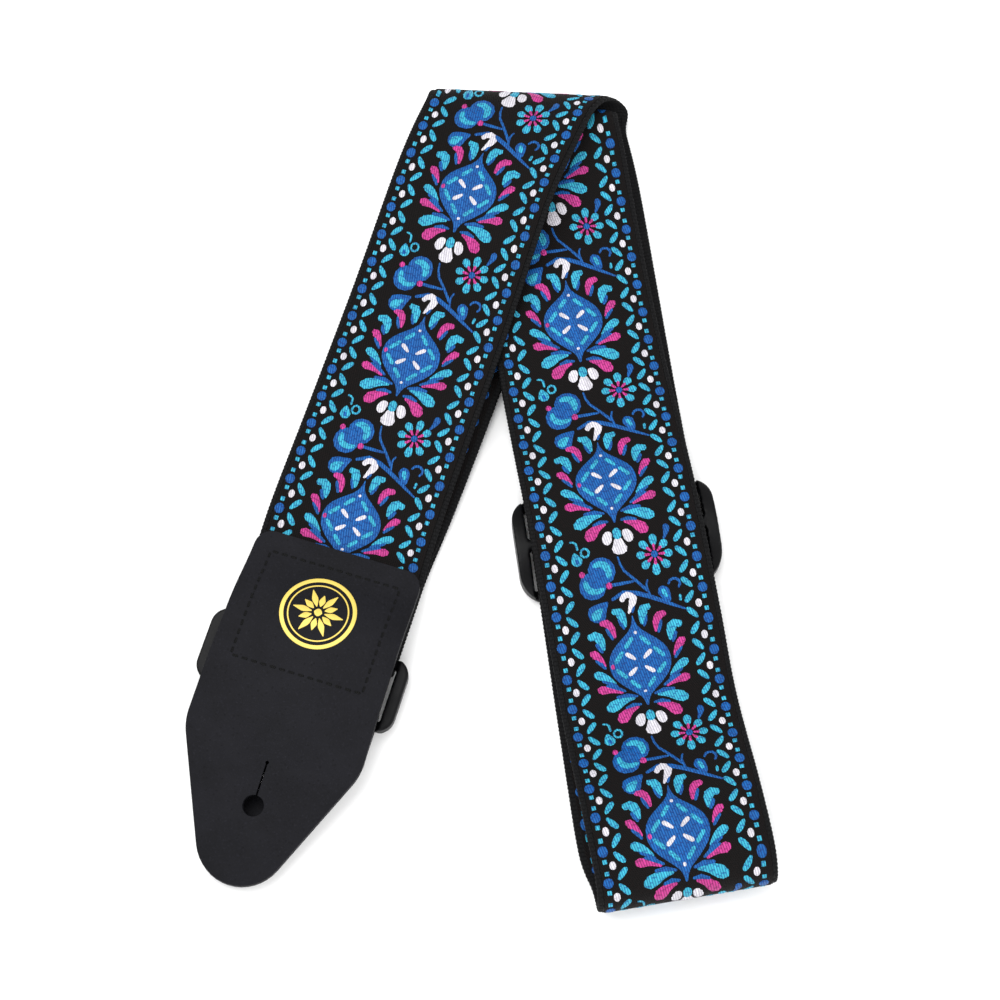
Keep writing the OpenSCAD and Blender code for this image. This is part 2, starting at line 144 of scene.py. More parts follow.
def strap_rows():
    """The strap's way from the front leather end to the end of its turn round the ring."""
    hold = SLIDER_L / 2 + SLIDER_PLAY
    up = [row(end_line(v), front_under(v) - LAYER_T - UNDER_SEWN, -END_TURN)
          for v in (36.5, 44, 52, 58, 64, 70, 77)]
    up += [row(left_leg(y), rest(2) + z, -LEG_TURN, t) for y, z, t in (
        (-2, .1, 0), (18, 1.6, 4), (44, 3.1, 5), (66, 4.6, 6), (82, 8.4, 8), (96, 11.8, 9),
        (110, 13.1, 9))]
    outer = [row((0.4, 124), rest(2) + 12.6, -12, 7), row((4.0, 133), rest(2) + 10.4, -5, 4),
             row((7.0, 136.6), rest(2) + 6.2, CREASE, 1), row((9.6, 136.8), rest(2) + 1.2, CREASE),
             row((12.4, 132.5), LAYER_T, CREASE), row((14.4, 124), LAYER_T, 3)]
    down = [row(lower_leg(y), LAYER_T, LOWER_TURN) for y in (110, 90, 70, 52, 38)]
    down += [row(lower_leg(SLIDER_Y + y), SLOT_Z, LOWER_TURN)
             for y in (hold + 4, hold - 8, 8, -8, 8 - hold, -hold - 4)]
    down += [row(lower_leg(y), LAYER_T, LOWER_TURN) for y in (-46, -58, -70, -82, -92)]
    bottom = [row((50.2, -101), LAYER_T, 9), row((51.0, -107.0), LAYER_T + 2.4, 9.4),
              row((51.4, -108.8), LAYER_T + 7.2, RIGHT_TURN),
              row((51.2, -107.0), LAYER_T + 12.6, RIGHT_TURN),
              row((50.4, -101), LAYER_T + 15.8, RIGHT_TURN)]
    back_up = [row(right_leg(y), z, RIGHT_TURN, t) for y, z, t in (
        (-92, rest(3) + 12.6, 0), (-83, rest(3) + 10.6, 0), (-74, rest(3) + 7, 0),
        (-65, rest(3) + 3, 0), (-56, rest(3) + .6, 0), (-48, rest(3) + .5, 0),
        (-40, OVER_TAIL - 1.5, 0), (-32, OVER_TAIL, 0), (-24, OVER_TAIL + .5, 0),
        (-18, OVER_SLIDER - .3, 0), (-12, OVER_SLIDER + .2, 0), (-2, OVER_SLIDER + .1, 0),
        (5, OVER_SLIDER + .1, 0), (12, OVER_SLIDER - .8, 0), (22, OVER_SLIDER - 3.2, 0),
        (34, rest(2) + 3.4, 0), (46, rest(2) + 1.9, -2.5), (58, rest(2) + 2.6, -5),
        (70, rest(2) + 3.4, -6), (82, rest(2) + 4.4, -6), (94, rest(4) + .8, -4),
        (106, rest(4) + 2.8, -2), (117, rest(4) + 4.2, 0))]
    inner = [row((10.6, 126.0), rest(4) + 4.0, 2), row((8.6, 131.6), rest(4) + 2.2, CREASE),
             row((7.4, 132.8), rest(3) + 1.0, CREASE),
             row((5.8, 129.6), rest(1) + LAYER_T + .2, CREASE),
             row((3.8, 122), rest(1) + LAYER_T, -9)]
    to_ring = [row(left_leg(y, s), LAYER_T + z, -LEG_TURN, t) for y, s, z, t in (
        (112, 3.4, 2, .5), (96, 3.4, 2, 2), (78, 3.2, 1.6, 3), (60, 3, 1.2, 2.4),
        (42, 2.6, .5, 1), (24, 2.2, 0, 0), (8, 1.8, 0, 0))]
    to_ring += [row(end_line(v), LAYER_T, -END_TURN) for v in (80, 72, 65, 58)]
    step = 45
    pull = WRAP_R / ((4 + 2 * math.cos(math.radians(step))) / 6)
    wrap = []
    for a in range(0, 181, step):
        out, turn = (WRAP_R if a % 180 == 0 else pull), math.radians(a)
        wrap.append(row(end_line(TOP_BAR_V - pull * math.sin(turn)), RING_Z - out * math.cos(turn),
                        -END_TURN))
    ramp = [row(end_line(v), LAYER_T + LAYER_GAP + f * (2 * WRAP_R - LAYER_GAP), -END_TURN)
            for v, f in ((TOP_BAR_V + 6, .85), (TOP_BAR_V + 14, .35), (TOP_BAR_V + 21, .05),
                         (80, 0), (86, 0))]
    parts = [up, outer, down, bottom, back_up, inner, to_ring, wrap, ramp]
    rows = [r for part in parts for r in part]
    first = len(up) + len(outer) + 8 + 1 / 3       # returned end: under the slider
    last = len(rows) - len(ramp) - len(wrap) - 5   # and where the ramp has come down
    return np.array(rows), first, last


class Strip:
    """A band's middle line: points, the line across it and its face's direction, in mm."""

    def __init__(self, points, across, face):
        self.points, self.across, self.face = points, across, face
        way = np.gradient(points, axis=0)
        way /= np.linalg.norm(way, axis=1)[:, None]
        self.lean = (across * way).sum(1)
        self.length = np.r_[0, np.cumsum(np.linalg.norm(np.diff(points, axis=0), axis=1))]
        self.number = np.arange(len(points), dtype=float)

    def mixed(self, i, u, h):
        """Places at fractional stations i, u across and h off the back face."""
        j = np.clip(i.astype(int), 0, len(self.points) - 2)
        f = (i - j)[:, None]

        def at(k):
            return self.points[k] + self.across[k] * u[:, None] + self.face[k] * h[:, None]
        return at(j) * (1 - f) + at(j + 1) * f

    def laid(self, flat):
        """Places of flat (u, s, h) on the band; s runs along it even where it is folded askew."""
        i = np.array([np.interp(s, self.length + u * self.lean, self.number) for u, s, _ in flat])
        return self.mixed(i, flat[:, 0], flat[:, 2])

    def even(self, step):
        """The same band with stations a step apart."""
        n = int(self.length[-1] / step)
        i = np.interp(np.linspace(0, self.length[-1], n + 1), self.length, self.number)
        zero, one = np.zeros(len(i)), np.ones(len(i))
        points = self.mixed(i, zero, zero)
        return Strip(points, self.mixed(i, one, zero) - points, self.mixed(i, zero, one) - points)


def spline(rows, steps):
    """Uniform cubic B-spline through the listed rows, clamped at both ends."""
    q = np.vstack([2 * rows[0] - rows[1], rows, 2 * rows[-1] - rows[-2]])
    t = np.arange(steps)[:, None] / steps
    w = np.stack([(1 - t) ** 3, 3 * t ** 3 - 6 * t * t + 4, 1 + 3 * t + 3 * t * t - 3 * t ** 3, t ** 3]) / 6
    out = [sum(w[k] * q[i + k] for k in range(4)) for i in range(len(rows) - 1)]
    return np.vstack(out + [rows[-1:]])


def strap_strips():
    """The strap out to the ring, and with its returned end after it."""
    steps = 12
    rows, first, last = strap_rows()
    q = spline(rows, steps)
    points = np.column_stack([q[:, :2] - CENTRE, q[:, 2]])
    here = np.arange(len(q))
    way = points[np.minimum(here + 1, len(q) - 1)] - points[np.maximum(here - 1, 0)]
    way /= np.linalg.norm(way, axis=1)[:, None]
    turn, tilt = np.radians(q[:, 3]), np.radians(q[:, 4])
    across = np.stack([np.cos(turn) * np.cos(tilt), np.sin(turn) * np.cos(tilt), np.sin(tilt)], 1)
    face = np.cross(across, way)
    face /= np.linalg.norm(face, axis=1)[:, None]
    across /= np.sqrt(1 - (across * way).sum(1) ** 2)[:, None]
    back = np.arange(round(last * steps), round(first * steps) - 1, -1)
    whole = Strip(np.vstack([points, points[back] - LAYER_GAP * face[back]]),
                  np.vstack([across, across[back]]), np.vstack([face, -face[back]]))
    return Strip(points, across, face), whole


def loop_strip():
    """The strap's end looped round the slider's middle bar, in the row frame."""
    hi, lo = SLIDER_Z + LOOP_R, SLIDER_Z - LOOP_R
    tail = SLOT_Z + 2 * LAYER_GAP + LAYER_T
    line = [(-3.0, lo), (-1.2, lo)]
    line += [(0.55 + LOOP_R * math.sin(math.radians(a)), SLIDER_Z - LOOP_R * math.cos(math.radians(a)))
             for a in range(0, 181, 15)]
    line += [(-1.2, hi), (-3.0, hi), (-4.6, hi - 0.45), (-7.2, hi - 1.62), (-9.8, tail + 0.5),
             (-11.8, tail), (-14, tail), (-20, tail)]
    line = np.array(line)
    way = np.gradient(line, axis=0)
    way /= np.linalg.norm(way, axis=1)[:, None]
    n = len(line)
    points = np.column_stack([np.zeros(n), line])
    face = np.column_stack([np.zeros(n), way[:, 1], -way[:, 0]])
    turned, at = slider_place()
    return Strip(points @ turned.T + at, np.tile(-turned[:, 0], (n, 1)), face @ turned.T)


def plan_place(x, y, turn):
    a = math.radians(turn)
    turned = np.array([[math.cos(a), -math.sin(a), 0], [math.sin(a), math.cos(a), 0], [0, 0, 1.0]])
    return turned, np.array([x - CENTRE[0], y - CENTRE[1], 0])


def slider_place():
    return plan_place(lower_leg(SLIDER_Y)[0], SLIDER_Y, LOWER_TURN)


def leather_place():
    return plan_place(BUTTON[0], BUTTON[1], -END_TURN)


MAIN, WHOLE = strap_strips()


# ---------- meshes ----------
def picked_none():
    if bpy.context.object and bpy.context.object.mode != "OBJECT":
        bpy.ops.object.mode_set(mode="OBJECT")
    bpy.ops.object.select_all(action="DESELECT")


def active(piece):
    picked_none()
    piece.select_set(True)
    bpy.context.view_layer.objects.active = piece


def made(name, points, faces, flat=None):
    """A piece from places in mm; flat gives each place's (u, s) on the band, as its UV map."""
    mesh = bpy.data.meshes.new(name)
    mesh.from_pydata((np.asarray(points) * MM).tolist(), [], [list(map(int, f)) for f in faces])
    mesh.validate()
    if flat is not None:
        corner = np.zeros(len(mesh.loops), int)
        mesh.loops.foreach_get("vertex_index", corner)
        mesh.uv_layers.new(name="band").data.foreach_set("uv", (np.asarray(flat)[corner, :2] * MM).ravel())
    piece = bpy.data.objects.new(name, mesh)
    bpy.context.scene.collection.objects.link(piece)
    active(piece)
    bpy.ops.object.shade_smooth_by_angle(angle=math.radians(50))
    return piece


def band_faces(stations, around):
    """Quads of a closed band whose section is named top first, with its two end caps."""
    i, j = np.meshgrid(np.arange(stations - 1), np.arange(around), indexing="ij")
    k = (j + 1) % around
    quads = np.stack([i * around + j, i * around + k, (i + 1) * around + k, (i + 1) * around + j], -1)
    ends = [list(range(around))[::-1], [(stations - 1) * around + n for n in range(around)]]
    return quads.reshape(-1, 4).tolist() + ends


def band(name, strip, section):
    """A closed band along a strip; section(n) gives the (u, h) round it at station n."""
    rings = [np.array(section(n)) for n in range(len(strip.points))]
    around = len(rings[0])
    i = np.repeat(strip.number, around)
    ring = np.vstack(rings)
    places = strip.mixed(i, ring[:, 0], ring[:, 1])
    flat = np.column_stack([ring[:, 0], np.repeat(strip.length, around)])
    return made(name, places, band_faces(len(strip.points), around), flat)


def merged_copy(node, name):
    """A copy of a CAD node with its doubles merged and its flats joined."""
    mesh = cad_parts[node].data.copy()
    piece = bpy.data.objects.new(name, mesh)
    bpy.context.scene.collection.objects.link(piece)
    mesh.materials.clear()
    active(piece)
    bpy.ops.object.mode_set(mode="EDIT")
    bpy.ops.mesh.select_all(action="SELECT")
    bpy.ops.mesh.remove_doubles(threshold=2e-6)
    bpy.ops.mesh.dissolve_limited(angle_limit=math.radians(0.6))
    bpy.ops.object.mode_set(mode="OBJECT")
    return piece


def cad_copy(node, name, round_off, angle=35, segments=3):
    """A merged copy of a CAD node with its edges rounded."""
    piece = merged_copy(node, name)
    edge = piece.modifiers.new("rounding", "BEVEL")
    edge.width, edge.segments = round_off * MM, segments
    edge.limit_method, edge.angle_limit = "ANGLE", math.radians(angle)
    edge.harden_normals = False
    bpy.ops.object.modifier_apply(modifier=edge.name)
    bpy.ops.object.shade_smooth_by_angle(angle=math.radians(40))
    return piece


def outline_block(place, turn, middle, length, corner):
    """A tall block with rounded corners, standing on a moulded frame's outline."""
    picked_none()
    bpy.ops.mesh.primitive_cube_add(size=1, scale=(FRAME_W * MM, length * MM, 80 * MM))
    block = bpy.context.object
    bpy.ops.object.transform_apply(scale=True)
    bpy.ops.object.mode_set(mode="EDIT")
    bpy.ops.mesh.select_all(action="DESELECT")
    bpy.ops.mesh.select_mode(type="EDGE")
    bm = bmesh.from_edit_mesh(block.data)
    for edge in bm.edges:
        edge.select = abs(edge.verts[0].co.z - edge.verts[1].co.z) > 40 * MM
    bmesh.update_edit_mesh(block.data)
    bpy.ops.mesh.bevel(offset=corner * MM, segments=10, affect="EDGES")
    bpy.ops.object.mode_set(mode="OBJECT")
    turned, at = place
    block.rotation_euler.z = math.radians(turn)
    block.location = (at + turned @ [0, middle, 0]) * MM
    bpy.ops.object.transform_apply(location=True, rotation=True)
    return block


def moulded(node, name, *outline):
    """A moulded frame: bars cut at its rounded outline, then joins and edges melted into one form."""
    piece, block = merged_copy(node, name), outline_block(*outline)
    active(piece)
    cut = piece.modifiers.new("outline", "BOOLEAN")
    cut.operation, cut.solver, cut.object = "INTERSECT", "EXACT", block
    melt = piece.modifiers.new("one form", "REMESH")
    melt.mode, melt.voxel_size = "VOXEL", MELT_CELL * MM
    soft = piece.modifiers.new("soft edges", "SMOOTH")
    soft.factor, soft.iterations = 0.5, MELT_PASSES
    for step in (cut, melt, soft):
        bpy.ops.object.modifier_apply(modifier=step.name)
    bpy.data.objects.remove(block)
    active(piece)
    bpy.ops.object.shade_smooth()
    return piece


def finished(piece, body, slot, material, *nodes):
    """Gives a piece its finish, what it rides on and what it stands for."""
    piece.data.materials.clear()
    piece.data.materials.append(material)
    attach(piece, body)
    if nodes:
        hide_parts(*nodes)


def thread_shape(length, width):
    """One thread stitch, modelled once: a six-sided cord whose ends turn down."""
    picked_none()
    bpy.ops.mesh.primitive_cylinder_add(vertices=6, radius=width / 2 * MM, depth=length * 0.7 * MM,
                                        rotation=(math.pi / 2, 0, 0), end_fill_type="NGON")
    piece = bpy.context.object
    bpy.ops.object.transform_apply(rotation=True)
    bpy.ops.object.mode_set(mode="EDIT")
    bpy.ops.mesh.select_all(action="DESELECT")
    bpy.ops.mesh.select_mode(type="FACE")
    bm = bmesh.from_edit_mesh(piece.data)
    for face in bm.faces:
        face.select = abs(face.normal.y) > 0.9
    bmesh.update_edit_mesh(piece.data)
    bpy.ops.mesh.inset(thickness=width * 0.16 * MM, depth=length * 0.1 * MM, use_individual=True)
    bpy.ops.mesh.inset(thickness=width * 0.14 * MM, depth=length * 0.05 * MM, use_individual=True)
    bpy.ops.object.mode_set(mode="OBJECT")
    mesh = piece.data
    places = np.array([v.co for v in mesh.vertices]) / MM
    places[:, 2] -= 0.5 * width * (np.abs(places[:, 1]) / (length / 2)) ** 3
    faces = [list(p.vertices) for p in mesh.polygons]
    bpy.data.objects.remove(piece)
    return places, faces


def copies(name, shape, placed):
    """One piece from many placed copies of a shape; placed is a list of place arrays."""
    places, faces = shape
    every = [[i + n * len(places) for i in f] for n in range(len(placed)) for f in faces]
    return made(name, np.vstack(placed), every)


# ---------- shader maths ----------
class Value:
    """A number that varies over a surface; expressions on it add Math nodes."""

    def __init__(self, finish, socket):
        self.finish, self.socket = finish, socket

    def math(self, operation, *others):
        return self.finish.node("ShaderNodeMath", {"operation": operation},
                                dict(enumerate((self, *others))))

    def __add__(self, other):
        return self.math("ADD", other)

    __radd__ = __add__

    def __sub__(self, other):
        return self.math("SUBTRACT", other)

    def __rsub__(self, other):
        return (self * -1) + other

    def __mul__(self, other):
        return self.math("MULTIPLY", other)

    __rmul__ = __mul__

    def __truediv__(self, other):
        return self.math("DIVIDE", other)

    def sin(self):
        return self.math("SINE")

    def abs(self):
        return self.math("ABSOLUTE")

    def floor(self):
        return self.math("FLOOR")

    def fract(self):
        return self.math("FRACT")

    def least(self, other):
        return self.math("MINIMUM", other)

    def most(self, other):
        return self.math("MAXIMUM", other)

    def power(self, other):
        return self.math("POWER", other)

    def held(self):
        """The value kept from 0 to 1."""
        return self.least(1.0).most(0.0)

    def step(self, low, high):
        """0 below low, 1 above high and a smooth rise between."""
        return self.finish.node("ShaderNodeMapRange", {"interpolation_type": "SMOOTHSTEP"},
                                {"Value": self, "From Min": low, "From Max": high})


class Finish:
    """A material with its Principled shader, and the nodes that vary it."""

    def __init__(self, name, **constants):
        self.material = bpy.data.materials.new(name)
        self.material.use_nodes = True
        self.tree = self.material.node_tree
        self.shader = self.tree.nodes["Principled BSDF"]
        for socket, value in constants.items():
            self.shader.inputs[socket.replace("_", " ")].default_value = value

    def node(self, kind, settings, inputs, out=0):
        node = self.tree.nodes.new(kind)
        for name, setting in settings.items():
            setattr(node, name, setting)
        for name, value in inputs.items():
            self.feed(node.inputs[name], value)
        return Value(self, node.outputs[out])

    def feed(self, socket, value):
        if isinstance(value, Value):
            self.tree.links.new(value.socket, socket)
        else:
            socket.default_value = value

    def set(self, **values):
        for name, value in values.items():
            self.feed(self.shader.inputs[name.replace("_", " ")], value)
        return self.material

    def place(self):
        """Object coordinates, in metres."""
        return self.node("ShaderNodeTexCoord", {}, {}, "Object")

    def along(self):
        """Distances across and along the band, in millimetres."""
        uv = self.node("ShaderNodeUVMap", {"uv_map": "band"}, {})
        u, s = self.split(uv)
        return u * 1000, s * 1000

    def split(self, vector):
        node = self.tree.nodes.new("ShaderNodeSeparateXYZ")
        self.feed(node.inputs[0], vector)
        return Value(self, node.outputs[0]), Value(self, node.outputs[1])

    def vector(self, x, y, z=0.0):
        return self.node("ShaderNodeCombineXYZ", {}, {0: x, 1: y, 2: z})

    def noise(self, vector, scale, detail=2.0, roughness=0.5):
        return self.node("ShaderNodeTexNoise", {}, {"Vector": vector, "Scale": scale, "Detail": detail,
                                                    "Roughness": roughness})

    def cells(self, vector, scale):
        return self.node("ShaderNodeTexVoronoi", {}, {"Vector": vector, "Scale": scale})

    def chance(self, value):
        """A different number from 0 to 1 for each whole value."""
        return self.node("ShaderNodeTexWhiteNoise", {"noise_dimensions": "1D"}, {"W": value})

    def mix(self, share, a, b):
        return self.node("ShaderNodeMix", {"data_type": "RGBA"}, {0: share, 6: a, 7: b}, 2)

    def bump(self, height, distance, strength=1.0):
        """height is from 0 to 1 and distance is what 1 stands for, in mm."""
        return self.node("ShaderNodeBump", {}, {"Strength": strength, "Distance": distance * MM,
                                                "Height": height})


def colour(r, g, b):
    """Linear colour from the usual screen values, 0 to 255."""
    def linear(c):
        c /= 255
        return c / 12.92 if c <= 0.04045 else ((c + 0.055) / 1.055) ** 2.4
    return linear(r), linear(g), linear(b), 1.0


def darker(c, f):
    return c[0] * f, c[1] * f, c[2] * f, 1.0


def webbing_finish():
    """Black webbing: ribs across it, yarns along it and a little fuzz."""
    f = Finish("webbing weave", Specular_IOR_Level=0.12)
    looks = bpy.context.scene.strap_looks
    u, s = f.along()
    rib = (s * (math.pi / looks.rib_pitch)).sin().abs()
    yarn = ((u + (s / looks.rib_pitch).floor() * 0.45) * (math.pi / 0.9)).sin().abs()
    fuzz = f.noise(f.vector(u, s), 2.3, 4, 0.65)
    high = (rib.power(0.6) * 0.65 + yarn * 0.35)
    base = tuple(looks.webbing_colour) + (1.0,)
    # The colour follows the ribs' height: painted shade in the valleys between ribs and yarns, painted
    # highlight on their crests; the fuzz adds random tone.
    tone = f.mix((high * 0.75 + fuzz * 0.35).held(), darker(base, 0.35), darker(base, 1.9))
    return f.set(Base_Color=tone, Roughness=0.94 - high * 0.22, Normal=f.bump(high + fuzz * 0.3, 0.22))


def ground_finish():
    """The ribbon's black ground: a fine twill with a warm fleck in it."""
    f = Finish("ribbon ground weave", Specular_IOR_Level=0.12)
    looks = bpy.context.scene.strap_looks
    u, s = f.along()
    twill = ((u * 1.0 + s * 0.55) * (math.pi / 0.62)).sin().abs()
    pick = (s * (math.pi / 0.5)).sin().abs()
    fleck = f.noise(f.vector(u * 3.0, s * 0.8), 1.1, 3, 0.6)
    high = twill * 0.6 + pick * 0.4
    base = tuple(looks.ground_colour) + (1.0,)
    warm = (base[0] * 2.1, base[1] * 1.2, base[2] * 1.15, 1.0)
    tone = f.mix(fleck.step(0.45, 0.75), darker(base, 0.75), warm)
    # Darker where the twill and picks sink: painted shade in the weave's valleys.
    tone = f.mix(high * 0.6, darker(base, 0.4), tone)
    return f.set(Base_Color=tone, Roughness=0.86 - high * 0.14, Normal=f.bump(high, 0.14))


def yarn_finish(name, base, shade_and_tie_colour, tie_darkening):
    """Satin pattern yarn: floats that lie along the strap, tied down here and there."""
    f = Finish(name, Specular_IOR_Level=0.22)
    u, s = f.along()
    wide, long = 0.72, 2.4
    column = ((u + s * 0.18) / wide).floor()
    ridge = (((u + s * 0.18) / wide) * math.pi).sin().abs()
    shade = f.chance(column)
    tie = ((s / long) + shade * 3.7).fract()
    dip = (tie - 0.5).abs().step(0.38, 0.47)
    streak = f.noise(f.vector(u * 2.2, s * 0.5), 1.4, 3, 0.6)
    high = (ridge.power(0.7) * (1 - dip * 0.8)).held()
    tone = f.mix((streak * 0.8 + shade * 0.5 - 0.1).held(), darker(base, 0.68), darker(base, 1.22))
    # Towards the darker colour in the grooves between floats, which is painted shade, and at the ties,
    # where it is partly the dark ground showing through and partly painted shade in the dip.
    tone = f.mix(((1 - ridge).power(1.6) * 0.8 + dip * tie_darkening).held(), tone, shade_and_tie_colour)
    return f.set(Base_Color=tone, Roughness=0.62 - high * 0.16, Normal=f.bump(high, 0.16))


def leather_finish():
    """Matt dark leather with a fine grain, painted paler on its raised grain and darker in its pores."""
    f = Finish("leather grain", Specular_IOR_Level=0.1)
    looks = bpy.context.scene.strap_looks
    at = f.place()
    pebble = f.cells(at, 1500)
    fine = f.noise(at, 1500, 5, 0.68)
    broad = f.noise(at, 70, 4, 0.6)
    pores = f.cells(at, 620).step(0.03, 0.3)
    base = tuple(looks.leather_colour) + (1.0,)
    tone = f.mix(broad.step(0.3, 0.7), darker(base, 0.82), darker(base, 1.2))
    # Paler where the fine grain stands up: painted highlight.
    tone = f.mix(fine.step(0.52, 0.72) * 0.8, tone, darker(base, 2.2))
    # Darker in the pores: painted shade.
    tone = f.mix((1 - pores) * 0.6, tone, darker(base, 0.4))
    rise = (1 - pebble) * 0.35 + fine * 0.45 + pores * 0.2
    return f.set(Base_Color=tone, Roughness=0.55 + fine * 0.2, Normal=f.bump(rise, 0.16, 0.9))


def thread_finish():
    """Black twisted sewing thread."""
    f = Finish("sewing thread", Specular_IOR_Level=0.15)
    at = f.place()
    x, y = f.split(at)
    twist = ((x + y) * (1000 * math.pi / 0.42)).sin().abs()
    fuzz = f.noise(at, 3000, 3)
    # Lighter on the twist's ridges, darker in its grooves: painted highlight and painted shade.
    tone = f.mix(twist * 0.7 + fuzz * 0.3, colour(1, 1, 1), colour(11, 11, 12))
    return f.set(Base_Color=tone, Roughness=0.7 - twist * 0.15, Normal=f.bump(twist, 0.08))


def plastic_finish():
    """Satin black moulded plastic with a faint spark-eroded texture and handling marks."""
    f = Finish("moulded plastic", Specular_IOR_Level=0.12)
    at = f.place()
    sparks = f.noise(at, 1700, 4, 0.6)
    rub = f.noise(at, 120, 3, 0.6).step(0.4, 0.75)
    # Lighter where the spark texture stands up, which is painted highlight, and on the rubbed patches,
    # which is real wear.
    tone = f.mix(sparks * 0.6 + rub * 0.3, colour(4, 4, 5), colour(11, 11, 14))
    return f.set(Base_Color=tone, Roughness=0.34 + sparks * 0.1 + rub * 0.12,
                 Normal=f.bump(sparks, 0.05, 0.7))


def foil_finish():
    """Hot-stamped gold foil, thin enough for the leather's grain to break it up."""
    f = Finish("gold foil", Specular_IOR_Level=0.5)
    at = f.place()
    grain = f.noise(at, 2400, 4, 0.6)
    worn = f.noise(at, 700, 4, 0.65).step(0.66, 0.8)
    looks = bpy.context.scene.strap_looks
    base = tuple(looks.foil_colour) + (1.0,)
    tone = f.mix(grain, darker(base, 0.86), darker(base, 1.06))
    tone = f.mix(worn * 0.4, tone, darker(base, 0.45))
    return f.set(Base_Color=tone, Metallic=0.12, Roughness=0.46 + grain * 0.14,
                 Normal=f.bump(grain, 0.05, 0.6))


def floor_finish():
    f = Finish("pale floor", Specular_IOR_Level=0.2)
    cloud = f.noise(f.place(), 6, 2)
    return f.set(Base_Color=f.mix(cloud, (0.93, 0.93, 0.93, 1), (0.95, 0.95, 0.95, 1)), Roughness=0.9)


FINISHES = {}


def finish_of(name, maker, *given):
    """Each material is made once and shared."""
    if name not in FINISHES:
        FINISHES[name] = maker(*given)
    return FINISHES[name]


# ---------- the ribbon's pattern ----------
def curve(points, n):
    """n places on a smooth curve through a few points, in (u, s)."""
    p = np.array(points, float)
    if len(p) == 2:
        return p[0] + (p[1] - p[0]) * np.linspace(0, 1, n)[:, None]
    q = np.vstack([2 * p[0] - p[1], p, 2 * p[-1] - p[-2]])
    t = np.linspace(0, len(p) - 1, n)
    i = np.minimum(t.astype(int), len(p) - 2)
    f = (t - i)[:, None]
    a, b, c, d = q[i], q[i + 1], q[i + 2], q[i + 3]
    return 0.5 * (2 * b + (c - a) * f + (2 * a - 5 * b + 4 * c - d) * f ** 2
                  + (3 * b - a - 3 * c + d) * f ** 3)


SECTION = 5          # places round a patch: its two feet, two shoulders and its crown
GROUND_H = LAYER_T - 0.14


def patch(points, widths, level=0, rise=0.14, n=4, blunt=False):
    """A raised patch of yarn along a curve, rounded at both ends unless it is blunt. widths are
    half widths from end to end, level lifts it over others and n counts the stations between."""
    line = curve(points, 41)
    run = np.r_[0, np.cumsum(np.linalg.norm(np.diff(line, axis=0), axis=1))]
    long = run[-1]
    first, last = (min(w, long * 0.4) for w in (widths[0], widths[-1]))
    d = np.r_[0, .3 * first, np.linspace(.9 * first, long - .9 * last, n), long - .3 * last, long]
    spine = np.stack([np.interp(d, run, line[:, k]) for k in (0, 1)], 1)
    w = np.interp(d / long, np.linspace(0, 1, len(widths)), widths)
    w[[0, 1, -2, -1]] *= (.9, 1, 1, .9) if blunt else (.3, .74, .74, .3)
    way = np.stack([np.interp(d, run, g) for g in np.gradient(line, axis=0).T], 1)
    way /= np.linalg.norm(way, axis=1)[:, None]
    side = np.stack([way[:, 1], -way[:, 0]], 1)
    foot, top = GROUND_H - 0.03, GROUND_H + 0.07 * level
    lift = rise * np.clip(w / 0.9, 0.35, 1)
    inner = np.maximum(w * 0.7, w - 0.4)
    out = np.zeros((len(d), SECTION, 3))
    for k, (reach, height) in enumerate(((-w, foot), (-inner, top + 0.75 * lift), (0 * w, top + lift),
                                         (inner, top + 0.75 * lift), (w, foot))):
        out[:, k, :2] = spine + side * reach[:, None]
        out[:, k, 2] = height
    return out.reshape(-1, 3), len(d)


def dot(u, s, r, level=0, long=1.0):
    """A round patch."""
    reach = r * long
    return patch([(u, s - reach), (u, s + reach)], (r, r), level, n=2)


def both(points):
    """A curve and its mirror image."""
    return [(points, 1), ([(-u, s) for u, s in points], -1)]


# feathers that fan out round the medallion: (yarn, curve from head to root, half widths,
# curve of the blue root beside it)
FEATHERS = (
    ("turquoise", [(5.2, 14.4), (4.5, 15.2), (3.3, 14.4), (2.3, 10.4)], (.9, 1.2, 1.3, .9, .35),
     [(3.9, 13.2), (3.4, 11.6), (2.8, 9.8)]),
    ("pink", [(9.6, 12.3), (8, 12.5), (6.6, 11), (5.8, 7.8)], (.8, 1.05, 1.1, .8, .3),
     [(7.9, 11), (7.2, 9.4), (6.5, 7.4)]),
    ("turquoise", [(13.2, 8.3), (12.2, 9.3), (10.4, 8.5), (9.5, 4.9)], (.95, 1.25, 1.35, .95, .35),
     [(11.5, 7.2), (10.9, 6), (10, 4.3)]),
    ("pink", [(13.7, 4.3), (12.7, 4.3), (11.2, 2.9), (9.8, .5)], (1.05, 1.15, .85, .55, .3),
     [(12.5, 2.7), (11.4, 1.9), (9.9, -.3)]),
    ("turquoise", [(13.6, -1.7), (12.4, -1.7), (10.2, -2.9), (7.8, -5)], (1.05, 1.2, 1.0, .65, .3),
     [(11.6, -3.4), (9.8, -4.2), (7.4, -5.9)]),
    ("pink", [(13.2, -6.5), (12, -6.2), (9.2, -6.8), (6.2, -8)], (1.2, 1.25, .75, .5, .3),
     [(10.8, -5.2), (8.8, -5.8), (5.4, -7.7)]),
    ("turquoise", [(11.7, -11.8), (10.2, -11.9), (7, -10.6), (3.2, -10.1)], (1.4, 1.65, 1.35, .7, .3),
     [(8.4, -9.1), (5.6, -8.9), (2.3, -9.7)]),
    ("pink", [(9.2, -16.2), (7.8, -15.8), (5.6, -14), (2.6, -12.9)], (1.5, 1.7, 1.3, .7, .3),
     [(6.4, -13), (4.6, -12.2), (1.7, -12.3)]),
)


